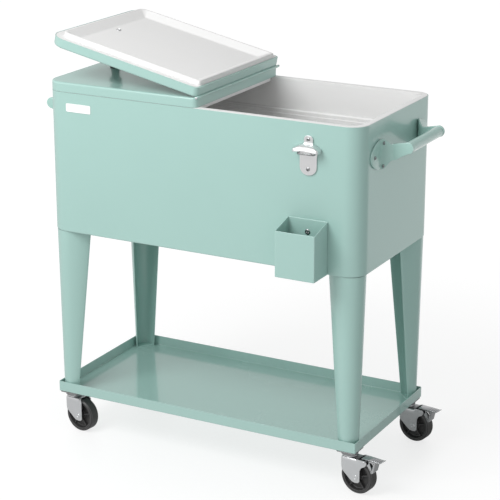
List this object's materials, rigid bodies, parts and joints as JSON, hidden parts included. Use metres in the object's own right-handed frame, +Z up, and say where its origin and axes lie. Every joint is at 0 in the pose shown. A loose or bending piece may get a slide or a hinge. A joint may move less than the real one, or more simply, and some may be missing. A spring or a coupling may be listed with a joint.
{
  "type": "rolling patio cooler",
  "caption": "Rolling patio cooler: insulated tub with hinged twin lids on sheet legs, lower shelf tray, swivel casters, end handles, bottle opener and cap catcher.",
  "frame": {"origin": "centre of the whole object's width and depth, at the floor under the wheels", "axes": "+Z up, +X along the tub to the end with the opener and the braked casters, +Y from the front to the back"},
  "size_m": [0.968, 0.472, 1.0072],
  "materials": {
    "mint_paint": "satin to glossy pale mint green paint",
    "handle_paint": "satin pale mint green",
    "white_moulding": "smooth white moulded plastic",
    "foam": "rigid insulation foam",
    "black_plastic": "black moulded plastic",
    "zinc_steel": "bright zinc plate",
    "opener_steel": "polished plated metal",
    "wheel_tread": "dark grey to black moulded wheel",
    "plate_white": "blank white plate"
  },
  "bodies": {
    "cabinet": {"tub_shell": "mint_paint", "tub_liner": "white_moulding", "tub_foam": "foam", "drain_spout": "white_moulding", "drain_nut": "white_moulding", "front_left_leg": "mint_paint", "front_right_leg": "mint_paint", "back_left_leg": "mint_paint", "back_right_leg": "mint_paint", "shelf": "mint_paint", "front_left_caster_plate": "zinc_steel", "front_right_caster_plate": "zinc_steel", "back_left_caster_plate": "zinc_steel", "back_right_caster_plate": "zinc_steel", "left_handle_front_bracket": "handle_paint", "left_handle_back_bracket": "handle_paint", "right_handle_front_bracket": "handle_paint", "right_handle_back_bracket": "handle_paint", "left_handle_grip": "handle_paint", "right_handle_grip": "handle_paint", "left_handle_front_screw_1": "zinc_steel", "left_handle_front_screw_2": "zinc_steel", "left_handle_front_screw_3": "zinc_steel", "left_handle_back_screw_1": "zinc_steel", "left_handle_back_screw_2": "zinc_steel", "left_handle_back_screw_3": "zinc_steel", "right_handle_front_screw_1": "zinc_steel", "right_handle_front_screw_2": "zinc_steel", "right_handle_front_screw_3": "zinc_steel", "right_handle_back_screw_1": "zinc_steel", "right_handle_back_screw_2": "zinc_steel", "right_handle_back_screw_3": "zinc_steel", "bottle_opener": "opener_steel", "opener_screw_1": "zinc_steel", "opener_screw_2": "zinc_steel", "cap_catcher": "mint_paint", "catcher_screw": "zinc_steel", "name_plate": "plate_white"},
    "left_lid": {"left_lid_shell": "mint_paint", "left_lid_liner": "white_moulding", "left_lid_foam": "foam", "left_lid_knob": "black_plastic", "left_knob_screw": "zinc_steel", "hinge_rod": "zinc_steel"},
    "right_lid": {"right_lid_shell": "mint_paint", "right_lid_liner": "white_moulding", "right_lid_foam": "foam", "right_lid_knob": "black_plastic", "right_knob_screw": "zinc_steel"},
    "drain_cap": {"drain_cap": "black_plastic"},
    "front_left_caster": {"front_left_fork": "zinc_steel"},
    "front_left_wheel": {"front_left_wheel": "wheel_tread"},
    "front_right_caster": {"front_right_fork": "zinc_steel"},
    "front_right_wheel": {"front_right_wheel": "wheel_tread"},
    "front_right_brake": {"front_right_pedal": "zinc_steel"},
    "back_left_caster": {"back_left_fork": "zinc_steel"},
    "back_left_wheel": {"back_left_wheel": "wheel_tread"},
    "back_right_caster": {"back_right_fork": "zinc_steel"},
    "back_right_wheel": {"back_right_wheel": "wheel_tread"},
    "back_right_brake": {"back_right_pedal": "zinc_steel"}
  },
  "joints": [
    {"name": "left_lid_hinge", "type": "hinge", "parent": "cabinet", "child": "left_lid", "pos_m": [0, 0.032, 0.8915], "axis": [0, 1, 0], "range_deg": [0, 167.81]},
    {"name": "right_lid_hinge", "type": "hinge", "parent": "left_lid", "child": "right_lid", "pos_m": [0, 0.032, 0.8915], "axis": [0, -1, 0], "range_deg": [-167.81, 0]},
    {"name": "front_left_swivel", "type": "hinge", "parent": "cabinet", "child": "front_left_caster", "pos_m": [-0.38, -0.1354, 0.088], "axis": [0, 0, 1], "continuous": true},
    {"name": "front_left_spin", "type": "hinge", "parent": "front_left_caster", "child": "front_left_wheel", "pos_m": [-0.35346, -0.13913, 0.0415], "axis": [0.1392, 0.9903, 0], "continuous": true},
    {"name": "front_right_swivel", "type": "hinge", "parent": "cabinet", "child": "front_right_caster", "pos_m": [0.38, -0.1354, 0.088], "axis": [0, 0, 1], "continuous": true},
    {"name": "front_right_spin", "type": "hinge", "parent": "front_right_caster", "child": "front_right_wheel", "pos_m": [0.40654, -0.13913, 0.0415], "axis": [0.1392, 0.9903, 0], "continuous": true},
    {"name": "front_right_brake_lever", "type": "hinge", "parent": "front_right_caster", "child": "front_right_brake", "pos_m": [0.42753, -0.14208, 0.0832], "axis": [-0.1392, -0.9903, 0], "range_deg": [0, 10]},
    {"name": "back_left_swivel", "type": "hinge", "parent": "cabinet", "child": "back_left_caster", "pos_m": [-0.38, 0.1994, 0.088], "axis": [0, 0, 1], "continuous": true},
    {"name": "back_left_spin", "type": "hinge", "parent": "back_left_caster", "child": "back_left_wheel", "pos_m": [-0.35346, 0.19567, 0.0415], "axis": [0.1392, 0.9903, 0], "continuous": true},
    {"name": "back_right_swivel", "type": "hinge", "parent": "cabinet", "child": "back_right_caster", "pos_m": [0.38, 0.1994, 0.088], "axis": [0, 0, 1], "continuous": true},
    {"name": "back_right_spin", "type": "hinge", "parent": "back_right_caster", "child": "back_right_wheel", "pos_m": [0.40654, 0.19567, 0.0415], "axis": [0.1392, 0.9903, 0], "continuous": true},
    {"name": "back_right_brake_lever", "type": "hinge", "parent": "back_right_caster", "child": "back_right_brake", "pos_m": [0.42753, 0.19272, 0.0832], "axis": [-0.1392, -0.9903, 0], "range_deg": [0, 10]},
    {"name": "drain_cap_off", "type": "slide", "parent": "cabinet", "child": "drain_cap", "axis": [-1, 0, 0], "range_m": [0, 0.02]}
  ]
}
